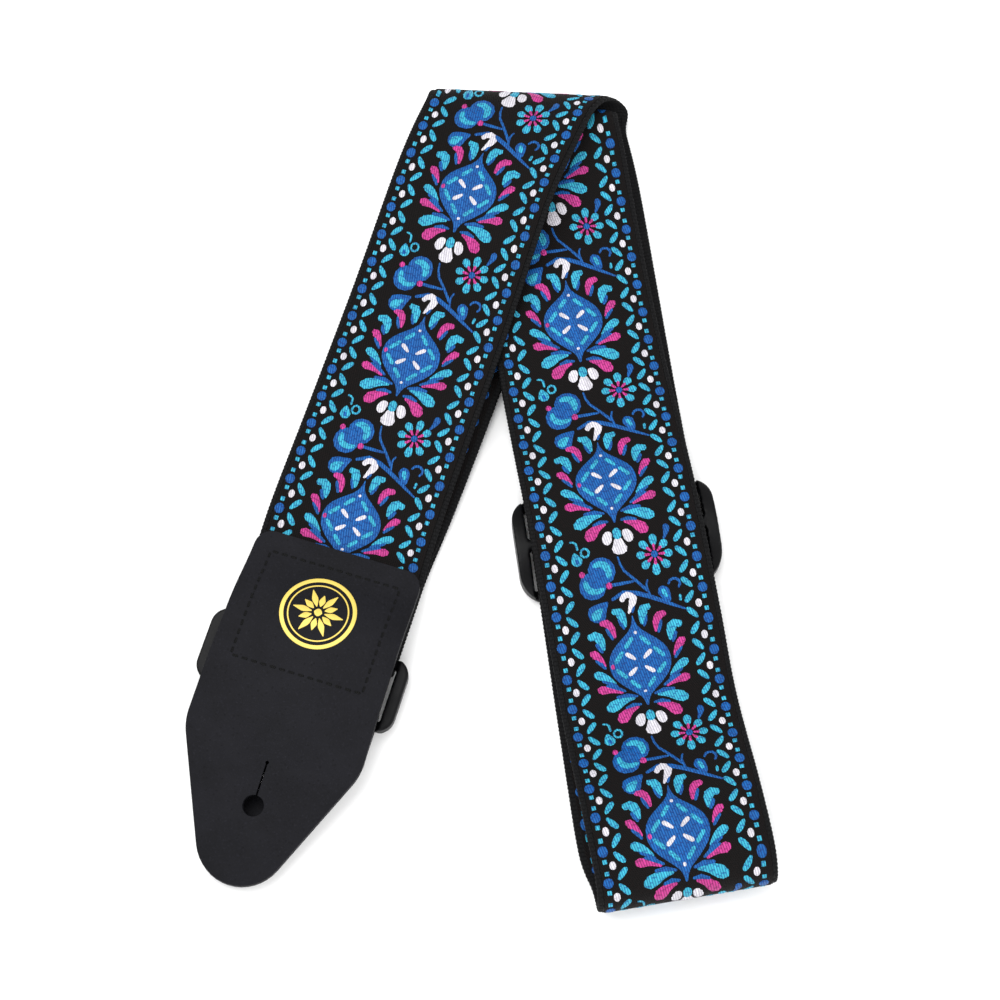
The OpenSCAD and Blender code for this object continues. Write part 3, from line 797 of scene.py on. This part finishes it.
def medallion(add):
    """The onion-shaped medallion, its dashed lozenge, cross flower and feathers."""
    half = ((13.3, .15), (12, .35), (10.2, 1), (9, 2), (7.9, 3.4), (6.7, 5), (5.4, 6.5), (4, 7.8),
            (2.4, 8.6), (.4, 8.95), (-1.6, 8.75), (-3.2, 8.1), (-4.6, 7.1), (-6, 5.7), (-7.4, 4.2),
            (-8.6, 2.7), (-9.7, 1.5), (-10.8, .85), (-12.9, .3))
    heights = np.array([h[0] for h in half])
    add("blue", patch([(0, 13.3), (0, -12.9)], np.interp(-np.linspace(13.3, -12.9, 40), -heights,
                                                          [h[1] for h in half]), n=19))
    for x in (-1, 1):
        for y in (-1, 1):
            for a, b in ((0.13, 0.46), (0.55, 0.9)):
                add("turquoise", patch([(x * 7.9 * a, y * 8.5 * (1 - a)), (x * 7.9 * b, y * 8.5 * (1 - b))],
                                       (.7, .84, .84, .7), 1, n=2))
            add("white", patch([(x * .9, y * .9), (x * 2.2, y * 2), (x * 3.8, y * 3.2)],
                               (.4, .7, .92, .7), 1, n=3))
        add("white", dot(0, x * 8.5, .6, 1))
    add("pink", dot(-7.9, 0, .7, 1))
    for yarn, line, widths, root in FEATHERS:
        for points, _ in both(line):
            add(yarn, patch(points, [w * 1.12 for w in widths], n=6))
        for points, _ in both(root):
            add("blue", patch(points, (.45, .8, .65, .35), n=3))


def sprays(add):
    """What grows between two medallions: hook, fan blossom, daisy, bud, leaves and stems."""
    add("white", patch([(-2, 17.6), (-1.8, 18.9), (-.3, 19.7), (1.2, 18.7), (.6, 16.7), (-.9, 14)],
                       (.8, 1.05, 1.15, 1.2, .8, .3), n=9))
    add("blue", patch([(1, 16.9), (.5, 15.2), (.2, 14)], (.35, .65, .3), n=3))
    add("turquoise", patch([(0, -14.5), (0, -18)], (1.15, 1.3, 1.2), 1, n=2))
    for x in (-1, 1):
        add("white", patch([(x * 1.9, -15.4), (x * 2.95, -16.9), (x * 3.35, -19.2)],
                           (.9, 1.4, 1.5, 1.0), n=4))
    add("white", patch([(0, -17.2), (0, -22.4)], (.9, 1.4, 1.9, 2.6, 2.7), n=5))
    for line, widths in (
            ([(-1.1, -22.9), (-.3, -26.6), (2.4, -29.8), (5.8, -34)], (.3, .42, .45, .5)),
            ([(-4.8, -30.6), (-1.8, -30.6), (2.4, -30.5)], (.5, .55, .35)),
            ([(-5, -35), (-1.8, -33.3), (1.8, -33.8), (6.1, -35.7), (11.1, -38.5), (15.4, -40.8)],
             (.5, .7, .75, .7, .55, .3)),
            ([(6.2, -30.6), (5.6, -32.4), (6.1, -35.4)], (.3, .35, .4)),
            ([(11.8, -33), (12.4, -31.9), (14, -31.5), (15.2, -32.8), (14.5, -34.4)],
             (.35, .45, .45, .42, .35)),
            ([(14.1, -15.6), (14.1, -17.4), (12.9, -20)], (1.05, 1.0, .6, .3)),
            ([(9.5, -33.2), (10.2, -35), (11.4, -38)], (1.4, 1.8, 1.4, .5)),
            ([(-6.1, -35.3), (-8.8, -37.4), (-11.4, -40.1)], (.3, 1.4, 2.5, 3.1, 2.7))):
        add("blue", patch(line, widths, n=7))
    add("turquoise", patch([(9.8, -33.9), (10.3, -35.2), (10.9, -36.8)], (.6, .9, .5), 1, n=3))
    add("turquoise", patch([(-7.8, -36.8), (-9.6, -38.3), (-11.1, -39.9)], (.3, .9, 1.5, 1.7, 1.4), 1, n=4))
    add("turquoise", patch([(14.6, -36.4), (14.4, -38.3)], (.4, .5, .4), n=2))
    daisy = np.array([9.5, -23.9])
    for k in range(8):
        a = math.radians(45 * k + 4)
        turn = np.array([math.sin(a), math.cos(a)])
        long = (5.9, 5.3, 5.2, 5.5)[k % 4]
        add("turquoise", patch([daisy + turn * 2.5, daisy + turn * long], (.7, 1.05, 1.25, 1.1), n=4))
        add("pink", patch([daisy + turn * 1.1, daisy + turn * 3.1], (.3, .45, .5), 1, n=2))
    add("blue", dot(*daisy, 1, 1))
    add("blue", patch([(-6.3, -30.1), (-6.3, -22.5)], (3.9, 3.9), n=4))
    add("blue", patch([(-9.6, -34), (-9.6, -26.4)], (3.8, 3.8), n=4))
    add("turquoise", patch([(-8.6, -24.7), (-6.4, -24.3), (-4.5, -25.8), (-4.6, -28.6)],
                           (.7, 1.2, 1.5, 1.3, .7), 1, n=6))
    add("turquoise", patch([(-11.5, -28.2), (-11.1, -30.6), (-9, -31.9), (-6.3, -31.2)],
                           (.7, 1.1, 1.3, 1.0, .6), 1, n=6))
    add("blue", dot(-8.6, -27.9, 2.0, 2))
    add("pink", dot(-12, -26.5, .85, 1))
    add("pink", dot(-4.9, -30.7, .95, 2))
    add("turquoise", patch([(-13.1, -20), (-12.9, -21.6), (-12.4, -23.9)], (.35, 1.3, 1.75, 1.7), n=4))
    add("blue", patch([(-13, -21.6), (-12.5, -23.5)], (.35, .7, .75), 1, n=3))
    add("turquoise", patch([(-13.9, -16.6), (-12.3, -17.1), (-12, -19.4)], (.3, .38, .35), n=5))
    ring = [(-10.1 + 1.2 * math.cos(a), -20.4 + 1.3 * math.sin(a)) for a in np.linspace(2.6, 8.9, 8)]
    add("turquoise", patch(ring, (.36, .38, .38, .36), n=9))


def borders(add):
    """Blue studs, small squares, white dots and leaf zigzags along both edges, for one pitch."""
    for x, blue, white in ((-1, -1.5, 3.3), (1, 0.4, -4.0)):
        add("blue", dot(x * 21.3, blue, 1.42))
        for k in (-1, 1):
            add("turquoise", patch([(x * 21.3 - .6, blue + k * 2.75), (x * 21.3 + .6, blue + k * 2.75)],
                                   (.66, .66), n=2, blunt=True))
            add("turquoise", patch([(x * 18.4, blue + k * .55), (x * 17.3, blue + k * 2),
                                    (x * 15.7, blue + k * 3.7)],
                                   (.4, .82, .92, .6), n=4))
        add("white", dot(x * 19.35, white, .95, long=1.22))


def one_repeat(pitch):
    """Everything in one repeat of the pattern, by yarn."""
    made_of = {}

    def add(yarn, shape):
        made_of.setdefault(yarn, []).append(shape)
    medallion(add)
    sprays(add)
    for k in range(6):
        def shifted(yarn, shape, move=(k - 3) * pitch / 6):
            places, n = shape
            add(yarn, (places + np.array([0, move, 0]), n))
        borders(shifted)
    return made_of


def patch_faces(n):
    return band_faces(n, SECTION)


def pattern_on(strip, repeats):
    """Yarn pieces laid on a strip. repeats are where the medallions' middles come, in mm."""
    yarns = {}
    for start, pitch in repeats:
        for yarn, shapes in one_repeat(pitch).items():
            for places, n in shapes:
                places = places + np.array([-0.4, start, 0])
                if places[:, 1].min() < 0.6 or places[:, 1].max() > strip.length[-1] - 0.6:
                    continue
                yarns.setdefault(yarn, []).append((places, n))
    return yarns


def pattern_pieces():
    looks = bpy.context.scene.strap_looks
    pitch = looks.repeat
    left, right, between = 104.86, 531.07, 8
    middle = (right - left) / between
    end = WHOLE.length[-1]
    starts = [(left - pitch * k, pitch) for k in (2, 1)]
    starts += [(left + middle * k, middle) for k in range(between)]
    starts += [(right + pitch * k, pitch) for k in range(int((end - right) / pitch) + 2)]
    loop = loop_strip()
    laid = [(WHOLE, pattern_on(WHOLE, starts)), (loop, pattern_on(loop, [(22.0, pitch)]))]
    faces_for = {}
    out = {}
    for strip, yarns in laid:
        for yarn, shapes in sorted(yarns.items()):
            places, faces, count = [], [], 0
            for shape, n in shapes:
                if n not in faces_for:
                    faces_for[n] = patch_faces(n)
                faces += [[i + count for i in f] for f in faces_for[n]]
                places.append(shape)
                count += len(shape)
            flat = np.vstack(places)
            out[yarn, strip is loop] = (strip.laid(flat), faces, flat)
    return out


# ---------- leather ----------
def leather_line(u, v, z):
    """A place in the leather ends' own frame, in the row frame."""
    turned, at = leather_place()
    return np.array([u, v, z]) @ turned.T + at


def leather_turn(places, u, v, z, turn, slope):
    """Copies a shape made round the origin to a place on the leather."""
    turned, at = leather_place()
    a, b = math.radians(turn), math.radians(slope)
    spin = np.array([[math.cos(a), -math.sin(a), 0], [math.sin(a), math.cos(a), 0], [0, 0, 1]])
    lean = np.array([[1, 0, 0], [0, math.cos(b), -math.sin(b)], [0, math.sin(b), math.cos(b)]])
    return (places @ spin.T @ lean.T + np.array([u, v, z])) @ turned.T + at


def front_slope(v):
    return math.degrees(math.atan(front_under(v + .5) - front_under(v - .5)))


# ---------- settings ----------
def tint(name, description, *levels):
    """A colour setting whose default is given in 0 to 255 levels."""
    return bpy.props.FloatVectorProperty(name=name, description=description, subtype="COLOR", size=3,
                                         default=colour(*levels)[:3], min=0, max=1)


class StrapLooks(bpy.types.PropertyGroup):
    """Sizes and colours that a user would change"""
    repeat: bpy.props.FloatProperty(
        name="Pattern repeat", description="Length of one repeat of the ribbon's pattern, in millimetres",
        default=53.6, min=40, max=70)
    rib_pitch: bpy.props.FloatProperty(
        name="Rib pitch", description="Distance between the webbing's ribs, in millimetres",
        default=1.2, min=0.6, max=3)
    webbing_colour: tint("Webbing", "Colour of the webbing", 9, 9, 10)
    ground_colour: tint("Ribbon ground", "Colour of the ribbon's ground", 15, 12, 12)
    blue: tint("Blue yarn", "Main pattern yarn", 4, 84, 152)
    turquoise: tint("Turquoise yarn", "Second pattern yarn", 50, 162, 186)
    pink: tint("Pink yarn", "Third pattern yarn", 184, 52, 130)
    white: tint("White yarn", "Fourth pattern yarn", 204, 201, 208)
    leather_colour: tint("Leather", "Colour of both leather ends", 17, 17, 21)
    foil_colour: tint("Foil", "Colour of the stamped foil", 222, 196, 92)


class StrapStage(bpy.types.PropertyGroup):
    """Floor, lights and camera"""
    floor_width: bpy.props.FloatProperty(
        name="Floor width", description="Width of the floor", default=6.0, min=1, unit="LENGTH")
    key_power: bpy.props.FloatProperty(
        name="Key light", description="Power of the large lamp overhead", default=12.0, min=0, unit="POWER")


class Step(bpy.types.Operator):
    bl_options = {"REGISTER", "UNDO"}


class STRAP_OT_stage(Step):
    """Floor, soft lights and the camera"""
    bl_idname = "strap.stage"
    bl_label = "Stage"

    def execute(self, context):
        stage = context.scene.strap_stage
        picked_none()
        bpy.ops.mesh.primitive_grid_add(x_subdivisions=8, y_subdivisions=8, size=stage.floor_width,
                                        location=(0, 0, -0.0005))
        floor = context.object
        floor.name = "floor"
        bpy.ops.object.transform_apply(location=True)
        floor.data.materials.append(floor_finish())
        for name, at, size, power in (("key", (-0.35, 0.25, 1.1), 0.9, stage.key_power),
                                      ("fill", (0.9, -0.2, 0.75), 0.8, stage.key_power * 0.5),
                                      ("front", (-0.1, -1.0, 0.7), 0.9, stage.key_power * 0.45)):
            light = bpy.data.lights.new(name, "AREA")
            light.energy, light.size = power, size
            lamp = bpy.data.objects.new(name, light)
            lamp.location = at
            lamp.rotation_euler = (-Vector(at)).to_track_quat("-Z", "Y").to_euler()
            context.scene.collection.objects.link(lamp)
        world = bpy.data.worlds.new("studio")
        context.scene.world = world
        world.use_nodes = True
        world.node_tree.nodes["Background"].inputs["Color"].default_value = (1, 1, 1, 1)
        world.node_tree.nodes["Background"].inputs["Strength"].default_value = 0.75
        context.scene.view_settings.view_transform = "Standard"
        camera = bpy.data.cameras.new("camera")
        camera.lens, camera.sensor_width = 85.77, 36
        camera.clip_start, camera.clip_end = 0.01, 20
        eye = bpy.data.objects.new("camera", camera)
        eye.location = (0.0059, -0.2329, 0.661)
        eye.rotation_euler = (math.radians(19.086), 0, 0)
        context.scene.collection.objects.link(eye)
        context.scene.camera = eye
        return {"FINISHED"}


class STRAP_OT_webbing(Step):
    """Ribbed webbing along the whole folded strap, and its loop in the slider"""
    bl_idname = "strap.webbing"
    bl_label = "Webbing"

    def execute(self, context):
        looks = context.scene.strap_looks
        half, t = WEB_W / 2, WEB_T
        strip = WHOLE.even(looks.rib_pitch / 2)

        def section(n):
            out = half if n % 2 else half - 0.16
            low = 0.03 if n % 2 else 0.09
            return [(-out + .5, t - low), (0, t - .02), (out - .5, t - low), (out - .1, t * .78),
                    (out, t * .5),
                    (out - .1, t * .22), (out - .5, low), (0, .02), (-out + .5, low), (-out + .1, t * .22),
                    (-out, t * .5), (-out + .1, t * .78)]
        piece = band("strap_webbing", strip, section)
        webbing = finish_of("webbing", webbing_finish)
        finished(piece, "strap", "webbing", webbing, "webbing")
        loop = band("slider_loop_webbing", loop_strip().even(looks.rib_pitch / 2), section)
        finished(loop, "slider", "webbing", webbing, "slider_loop")
        return {"FINISHED"}


class STRAP_OT_ribbon(Step):
    """The ribbon's woven ground, sewn flat onto the webbing"""
    bl_idname = "strap.ribbon"
    bl_label = "Ribbon"

    def execute(self, context):
        half = RIBBON_W / 2
        low = WEB_T - 0.04

        def section(n):
            return [(-half + .25, GROUND_H), (0, GROUND_H), (half - .25, GROUND_H), (half, GROUND_H - .12),
                    (half, low), (-half, low), (-half, GROUND_H - .12)]
        strip = WHOLE.even(1.0)
        piece = band("ribbon_ground", strip, section)
        ground = finish_of("ground", ground_finish)
        finished(piece, "strap", "ribbon", ground, "jacquard_ribbon")
        loop = band("slider_loop_ribbon", loop_strip().even(0.5), section)
        finished(loop, "slider", "ribbon", ground)
        return {"FINISHED"}


class STRAP_OT_pattern(Step):
    """The ribbon's raised pattern, one piece for each yarn"""
    bl_idname = "strap.pattern"
    bl_label = "Pattern"

    def execute(self, context):
        looks = context.scene.strap_looks
        # Darker colour of each yarn, painted as shade in the grooves between floats and at the ties.
        shade_and_tie_colour = {"blue": colour(6, 34, 96), "turquoise": colour(14, 70, 128), "pink": colour(96, 18, 70),
                "white": colour(150, 148, 158)}
        # How far the ties darken: partly the ground showing through, partly painted shade in the dip.
        tie_darkening = {"blue": 0.5, "turquoise": 0.6, "pink": 0.5, "white": 0.25}
        for (yarn, on_loop), (places, faces, flat) in sorted(pattern_pieces().items()):
            piece = made(("loop_" if on_loop else "") + yarn + "_yarn", places, faces, flat)
            base = tuple(getattr(looks, yarn)) + (1.0,)
            material = finish_of(yarn, yarn_finish, yarn + " yarn", base, shade_and_tie_colour[yarn], tie_darkening[yarn])
            finished(piece, "slider" if on_loop else "strap", "ribbon", material)
        return {"FINISHED"}


class STRAP_OT_seams(Step):
    """Both rows of stitches along the ribbon's edges"""
    bl_idname = "strap.seams"
    bl_label = "Ribbon seams"

    def execute(self, context):
        pitch = 2.6
        shape = thread_shape(2.1, 0.42)
        for side, name in ((-1, "left"), (1, "right")):
            u = side * (RIBBON_W / 2 + 0.3)
            n = int((MAIN.length[-1] - 2) / pitch)
            placed = []
            for k in range(n):
                flat = shape[0] + np.array([u, 1 + pitch * (k + .5), WEB_T + 0.06])
                placed.append(MAIN.laid(flat))
            piece = copies("ribbon_stitches_" + name, shape, placed)
            finished(piece, "strap", "thread", finish_of("thread", thread_finish), "ribbon_stitch_" + name)
        return {"FINISHED"}


class STRAP_OT_front_end(Step):
    """The front leather end with its box stitch and foil rosette"""
    bl_idname = "strap.front_end"
    bl_label = "Front leather end"

    def execute(self, context):
        leather = cad_copy("front_leather_end", "front_leather", 0.42)
        finished(leather, "strap", "leather", finish_of("leather", leather_finish), "front_leather_end")
        self.stitches()
        self.rosette()
        return {"FINISHED"}

    def stitches(self):
        wide, long, top = 39.0, 33.5, 71.5
        across, down = round(wide / STITCH_PITCH), round(long / STITCH_PITCH)
        shape = thread_shape(2.0, 0.8)
        spots = [(wide * ((k + .5) / across - .5), v, 90) for k in range(across) for v in (top, top - long)]
        spots += [(s * wide / 2, top - long * (k + .5) / down, 0) for k in range(down) for s in (-1, 1)]
        placed = [leather_turn(shape[0], u, v, front_under(v) + LEATHER_T + .02, turn, front_slope(v))
                  for u, v, turn in spots]
        piece = copies("front_box_stitches", shape, placed)
        finished(piece, "strap", "thread", finish_of("thread", thread_finish), "front_box_stitch")

    def rosette(self):
        """A ring with a plain twelve-petal flower, stamped flat."""
        places, faces = [], []

        def strip_of(line, widths):
            line = np.array(line)
            way = np.gradient(line, axis=0)
            way /= np.linalg.norm(way, axis=1)[:, None]
            side = np.stack([way[:, 1], -way[:, 0]], 1)
            n, first = len(line), len(places)
            w = np.interp(np.linspace(0, 1, n), np.linspace(0, 1, len(widths)), widths)
            for k in range(n):
                for reach, lift in ((-w[k], 0.0), (-w[k] + .08, .1), (w[k] - .08, .1), (w[k], 0.0)):
                    u, v = line[k] + side[k] * reach
                    v += 57
                    places.append(leather_line(u, v, front_under(v) + LEATHER_T + .01 + lift))
            faces.extend([[i + first for i in f] for f in band_faces(n, 4)])
        for r, w in ((10.4, .6), (8.6, .22)):
            turn = np.linspace(0, 2 * math.pi, 65)
            strip_of([(r * math.cos(a), r * math.sin(a)) for a in turn], (w, w))
        for k in range(12):
            a = 2 * math.pi * k / 12
            long = 7.4 if k % 2 == 0 else 5.6
            strip_of([(r * math.cos(a), r * math.sin(a)) for r in np.linspace(1.9, long, 9)],
                     (.14, .5, .82, .9, .7, .4, .12))
        strip_of([(x, 0) for x in np.linspace(-1.2, 1.2, 9)], (.1, .8, 1.12, 1.2, 1.12, .8, .1))
        piece = made("foil_rosette", places, faces)
        finished(piece, "strap", "foil", finish_of("foil", foil_finish), "foil_emblem")


class STRAP_OT_rear_end(Step):
    """The rear leather end, folded round the ring's lower bar, and its stitch line"""
    bl_idname = "strap.rear_end"
    bl_label = "Rear leather end"

    def execute(self, context):
        leather = cad_copy("rear_leather_end", "rear_leather", 0.4)
        finished(leather, "rear_end", "leather", finish_of("leather", leather_finish), "rear_leather_end")
        shape = thread_shape(2.0, 0.5)
        n = round((WEB_W - 10) / STITCH_PITCH)
        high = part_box("rear_end_stitch")[1]
        v = LOW_BAR_V - 11 + 3.2
        placed = []
        for k in range(n):
            u = (WEB_W - 10) * ((k + .5) / n - .5)
            placed.append(leather_turn(shape[0], u, v, high.z / MM, 90, 14))
            placed.append(leather_turn(shape[0] * [1, 1, -1], u, v, 0.16, 90, 0))
        places, faces = shape
        flipped = [list(reversed(f)) for f in faces]
        every = []
        for k in range(len(placed)):
            every += [[i + k * len(places) for i in f] for f in (flipped if k % 2 else faces)]
        piece = made("rear_end_stitches", np.vstack(placed), every)
        finished(piece, "rear_end", "thread", finish_of("thread", thread_finish), "rear_end_stitch")
        return {"FINISHED"}


class STRAP_OT_ring(Step):
    """The moulded ring between the strap and its rear end"""
    bl_idname = "strap.ring"
    bl_label = "Ring"

    def execute(self, context):
        ring = moulded("ring", "moulded_ring", leather_place(), -END_TURN, RING_V, RING_L, RING_CORNER)
        finished(ring, "ring", "plastic", finish_of("plastic", plastic_finish), "ring")
        return {"FINISHED"}


class STRAP_OT_slider(Step):
    """The moulded slider and the bar tack that closes the strap's loop in it"""
    bl_idname = "strap.slider"
    bl_label = "Slider"

    def execute(self, context):
        slider = moulded("slider", "moulded_slider", slider_place(), LOWER_TURN, 0, SLIDER_L,
                         SLIDER_CORNER)
        finished(slider, "slider", "plastic", finish_of("plastic", plastic_finish), "slider")
        shape = thread_shape(2.0, 0.42)
        n = round((WEB_W - 6) / STITCH_PITCH)
        turned, at = slider_place()
        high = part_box("slider_bartack")[1]
        spin = np.array([[0, -1, 0], [1, 0, 0], [0, 0, 1.0]])
        placed = []
        for k in range(n):
            for y in (-17.8, -13.3):
                spot = np.array([(WEB_W - 6) * ((k + .5) / n - .5), y, high.z / MM - .12])
                placed.append((shape[0] @ spin.T + spot) @ turned.T + at)
        piece = copies("slider_bar_tack", shape, placed)
        finished(piece, "slider", "thread", finish_of("thread", thread_finish), "slider_bartack")
        return {"FINISHED"}


STEPS = (STRAP_OT_stage, STRAP_OT_webbing, STRAP_OT_ribbon, STRAP_OT_pattern, STRAP_OT_seams,
         STRAP_OT_front_end, STRAP_OT_rear_end, STRAP_OT_ring, STRAP_OT_slider)


class STRAP_PT_panel(bpy.types.Panel):
    bl_idname = "STRAP_PT_panel"
    bl_label = "Guitar strap"
    bl_space_type = "VIEW_3D"
    bl_region_type = "UI"
    bl_category = "Strap"

    def draw(self, context):
        for group in (context.scene.strap_looks, context.scene.strap_stage):
            for name in group.__annotations__:
                self.layout.prop(group, name)
        for step in STEPS:
            self.layout.operator(step.bl_idname)


CLASSES = (StrapLooks, StrapStage, *STEPS, STRAP_PT_panel)


def register():
    for cls in CLASSES:
        bpy.utils.register_class(cls)
    bpy.types.Scene.strap_looks = bpy.props.PointerProperty(type=StrapLooks)
    bpy.types.Scene.strap_stage = bpy.props.PointerProperty(type=StrapStage)


def unregister():
    del bpy.types.Scene.strap_stage
    del bpy.types.Scene.strap_looks
    for cls in reversed(CLASSES):
        bpy.utils.unregister_class(cls)


def main():
    register()
    for step in STEPS:
        group, name = step.bl_idname.split(".")
        getattr(getattr(bpy.ops, group), name)()


if __name__ == "__main__":
    main()
